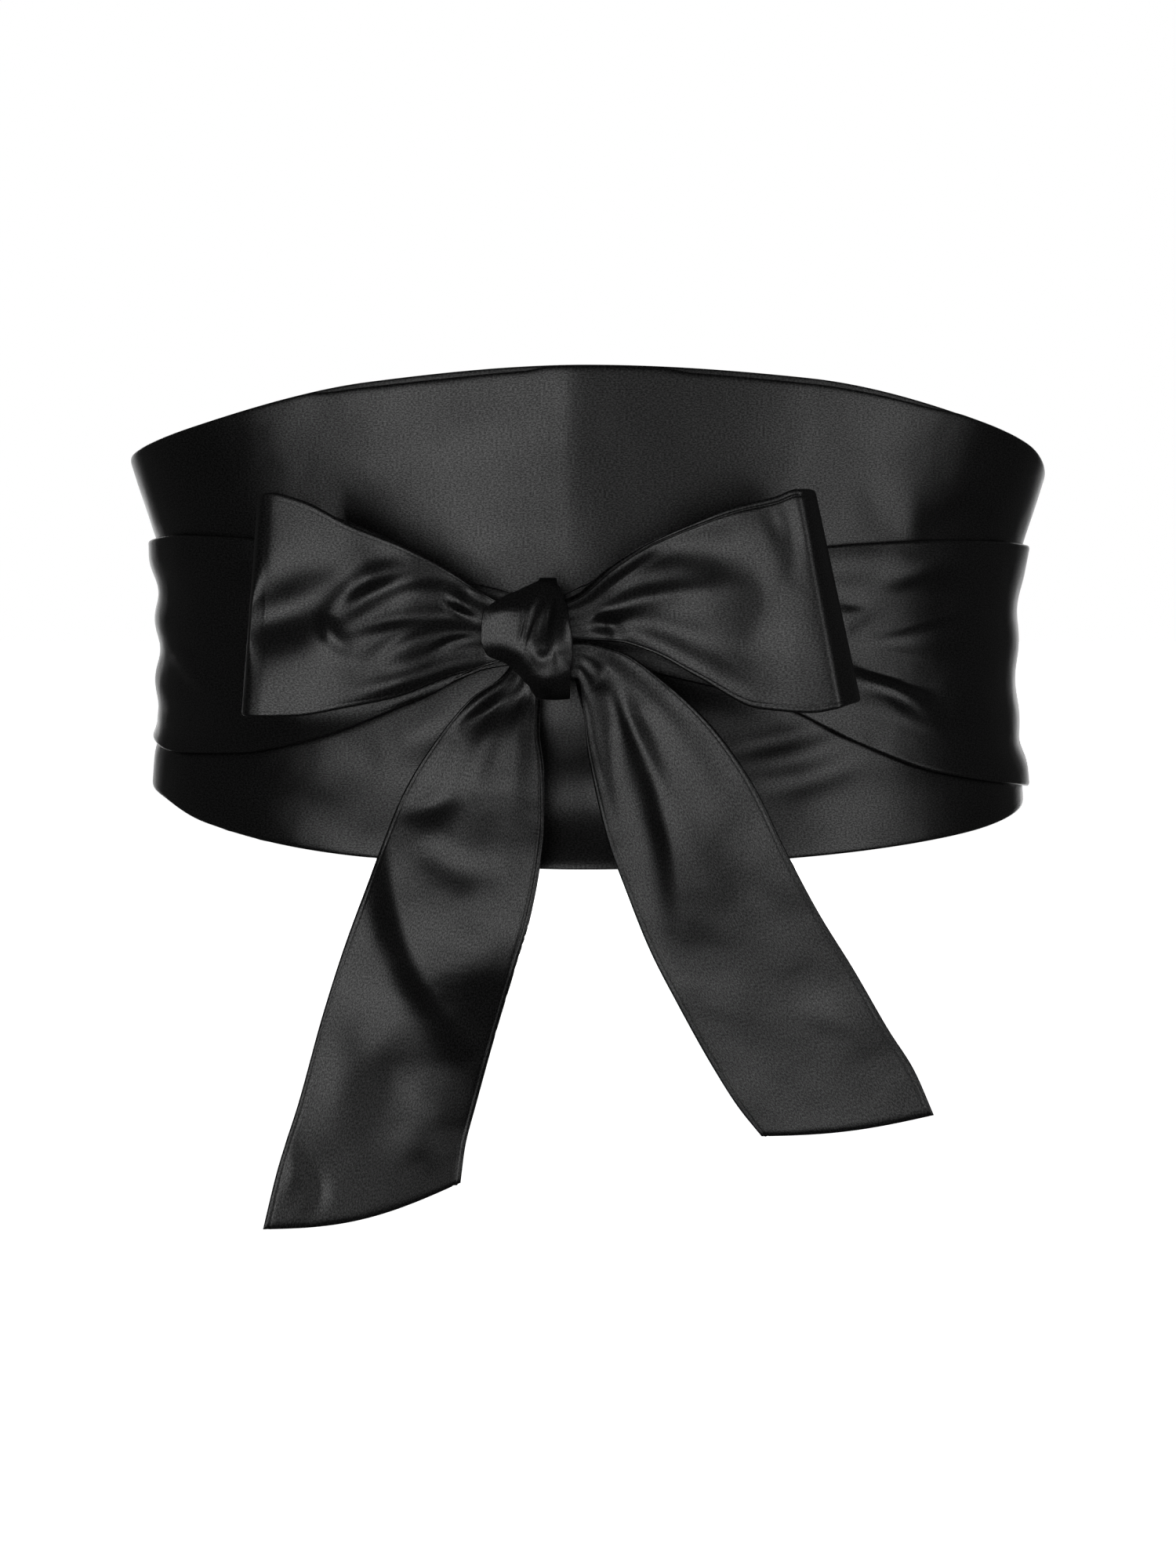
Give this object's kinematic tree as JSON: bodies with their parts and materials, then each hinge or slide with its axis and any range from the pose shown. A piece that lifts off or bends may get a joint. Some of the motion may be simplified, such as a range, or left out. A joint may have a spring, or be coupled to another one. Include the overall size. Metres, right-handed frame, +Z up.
{
  "type": "satin waist sash",
  "caption": "Wide satin waist sash in its worn hollow form, with ties that cross at the back and tie in a front bow with hanging tails.",
  "frame": {"origin": "the middle of the waist hollow, on the wearer's axis, level with the middle of the ties", "axes": "+Z up along the wearer's body, the bow faces -Y, +X is to the right of someone who looks at the bow"},
  "size_m": [0.2862, 0.2203, 0.2579],
  "materials": {
    "panel_satin": "black satin, interfaced panel",
    "tie_satin": "black satin, soft turned tie"
  },
  "bodies": {
    "root": {"body_panel": "panel_satin", "wrap_left": "tie_satin", "wrap_right": "tie_satin", "loop_left": "tie_satin", "loop_right": "tie_satin", "knot": "tie_satin", "tail_left": "tie_satin", "tail_right": "tie_satin"}
  },
  "joints": []
}
